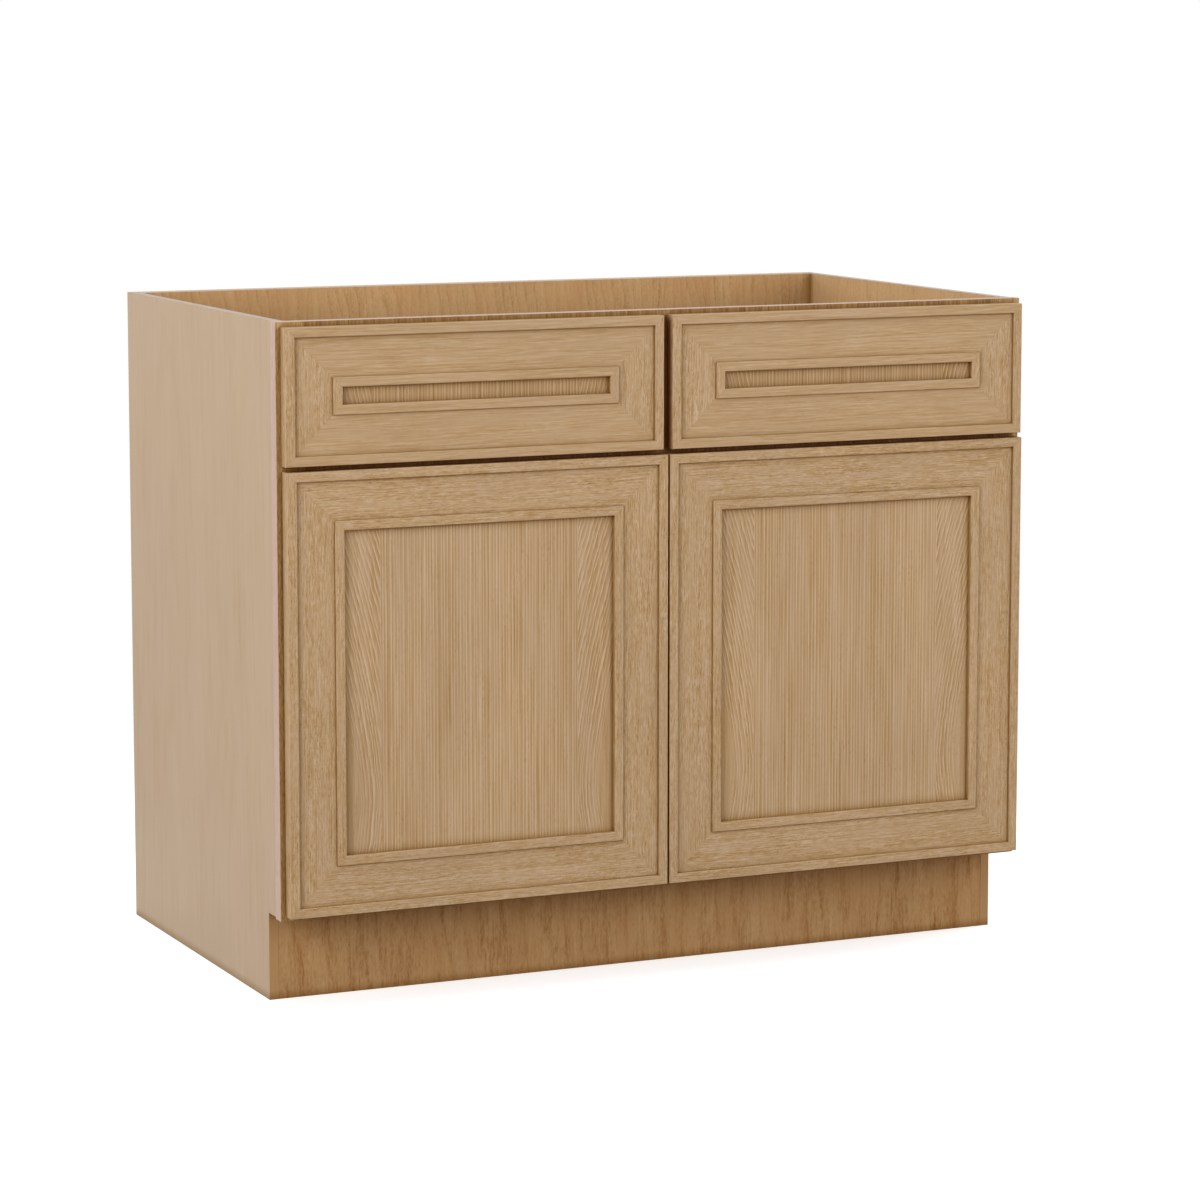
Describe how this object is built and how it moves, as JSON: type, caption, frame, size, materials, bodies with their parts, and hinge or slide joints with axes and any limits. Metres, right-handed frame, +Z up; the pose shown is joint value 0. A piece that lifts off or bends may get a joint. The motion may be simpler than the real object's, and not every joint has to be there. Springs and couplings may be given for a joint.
{
  "type": "kitchen base cabinet",
  "caption": "Face-frame kitchen base cabinet with moulded drawer fronts over a pair of moulded doors, open top and recessed toe kick",
  "frame": {"origin": "on the floor, at the middle of the width and of the depth over the doors", "axes": "+X to the right as seen by someone facing the doors, +Y to the wall, +Z up"},
  "size_m": [1.0668, 0.6316, 0.8763],
  "materials": {
    "oak_front": "natural oak, clear satin lacquer",
    "oak_frame": "natural oak, clear satin lacquer",
    "side_veneer": "pale maple veneer, satin",
    "maple_veneer": "figured maple veneer, satin",
    "birch_ply": "clear lacquered solid birch and plywood",
    "zinc_steel": "bright zinc plate",
    "nickel_steel": "nickel plate",
    "white_plastic": "moulded",
    "clear_rubber": "clear soft polyurethane"
  },
  "bodies": {
    "carcass": {"side_panel_left": "side_veneer", "side_panel_right": "side_veneer", "floor_panel": "maple_veneer", "back_panel": "maple_veneer", "hanging_rail_top": "birch_ply", "hanging_rail_bottom": "birch_ply", "toe_kick_board": "maple_veneer", "frame_stile_left": "oak_frame", "frame_stile_right": "oak_frame", "frame_top_rail": "oak_frame", "frame_mid_rail": "oak_frame", "frame_bottom_rail": "oak_frame", "frame_mullion": "oak_frame", "shelf": "maple_veneer", "shelf_pins": "zinc_steel", "slide_cabinet_members": "zinc_steel", "slide_rear_brackets": "white_plastic", "hinge_arms": "nickel_steel"},
    "left_drawer": {"left_drawer_top_rail": "oak_front", "left_drawer_bottom_rail": "oak_front", "left_drawer_outer_stile": "oak_front", "left_drawer_inner_stile": "oak_front", "left_drawer_front_panel": "oak_front", "left_drawer_box_front": "birch_ply", "left_drawer_box_back": "birch_ply", "left_drawer_box_outer_side": "birch_ply", "left_drawer_box_inner_side": "birch_ply", "left_drawer_box_bottom": "birch_ply", "left_drawer_slide_members": "zinc_steel"},
    "right_drawer": {"right_drawer_top_rail": "oak_front", "right_drawer_bottom_rail": "oak_front", "right_drawer_outer_stile": "oak_front", "right_drawer_inner_stile": "oak_front", "right_drawer_front_panel": "oak_front", "right_drawer_box_front": "birch_ply", "right_drawer_box_back": "birch_ply", "right_drawer_box_outer_side": "birch_ply", "right_drawer_box_inner_side": "birch_ply", "right_drawer_box_bottom": "birch_ply", "right_drawer_slide_members": "zinc_steel"},
    "left_slide_middle": {"left_slide_middle_members": "zinc_steel"},
    "right_slide_middle": {"right_slide_middle_members": "zinc_steel"},
    "left_door": {"left_door_top_rail": "oak_front", "left_door_bottom_rail": "oak_front", "left_door_hinge_stile": "oak_front", "left_door_lock_stile": "oak_front", "left_door_panel": "oak_front", "left_door_hinge_cups": "nickel_steel", "left_door_hinge_pins": "nickel_steel", "left_door_bumpers": "clear_rubber"},
    "right_door": {"right_door_top_rail": "oak_front", "right_door_bottom_rail": "oak_front", "right_door_hinge_stile": "oak_front", "right_door_lock_stile": "oak_front", "right_door_panel": "oak_front", "right_door_hinge_cups": "nickel_steel", "right_door_hinge_pins": "nickel_steel", "right_door_bumpers": "clear_rubber"}
  },
  "joints": [
    {"name": "left_drawer_slide", "type": "slide", "parent": "carcass", "child": "left_drawer", "axis": [0, -1, 0], "range_m": [0, 0.45]},
    {"name": "left_middle_slide", "type": "slide", "parent": "carcass", "child": "left_slide_middle", "axis": [0, -1, 0], "range_m": [0, 0.225]},
    {"name": "right_drawer_slide", "type": "slide", "parent": "carcass", "child": "right_drawer", "axis": [0, -1, 0], "range_m": [0, 0.45]},
    {"name": "right_middle_slide", "type": "slide", "parent": "carcass", "child": "right_slide_middle", "axis": [0, -1, 0], "range_m": [0, 0.225]},
    {"name": "left_door_hinge", "type": "hinge", "parent": "carcass", "child": "left_door", "pos_m": [-0.51955, -0.30597, 0.43815], "axis": [0, 0, -1], "range_deg": [0, 105]},
    {"name": "right_door_hinge", "type": "hinge", "parent": "carcass", "child": "right_door", "pos_m": [0.51955, -0.30597, 0.43815], "axis": [0, 0, 1], "range_deg": [0, 105]}
  ],
  "couplings": [
    {"joint": "left_middle_slide", "follows": "left_drawer_slide", "ratio": 0.5},
    {"joint": "right_middle_slide", "follows": "right_drawer_slide", "ratio": 0.5}
  ]
}
